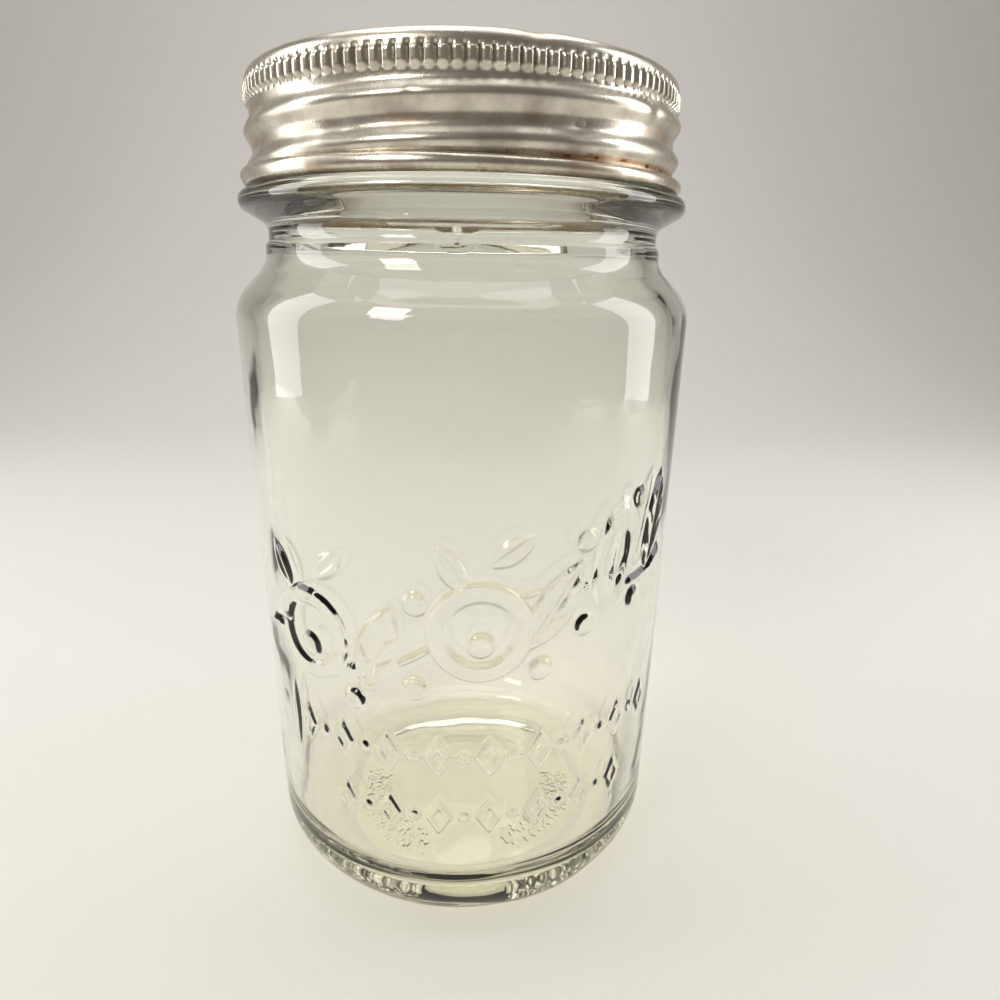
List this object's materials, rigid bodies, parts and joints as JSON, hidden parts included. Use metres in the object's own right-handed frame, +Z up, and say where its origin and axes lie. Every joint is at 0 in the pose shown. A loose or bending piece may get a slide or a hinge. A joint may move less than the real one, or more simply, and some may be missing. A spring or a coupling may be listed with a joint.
{
  "type": "canning jar",
  "caption": "Wide-mouthed pressed-glass canning jar, closed by a glass lid under a threaded, knurled steel screw band, with a raised fruit and leaf spray on its front.",
  "frame": {"origin": "centre of the foot ring, on the surface that the jar stands on", "axes": "+Z up along the jar's axis, towards the lid; -Y is the front with the raised ornament; +X is the right-hand side seen from the front"},
  "size_m": [0.0958, 0.0961, 0.1718],
  "materials": {
    "clear_glass": "pressed, clear with a faint straw tint",
    "lid_glass": "pressed, clear with a faint straw tint",
    "tinned_steel": "tinned, dulled, with rust stains in the grooves"
  },
  "bodies": {
    "root": {"jar": "clear_glass", "glass_lid": "lid_glass", "screw_band": "tinned_steel"}
  },
  "joints": []
}
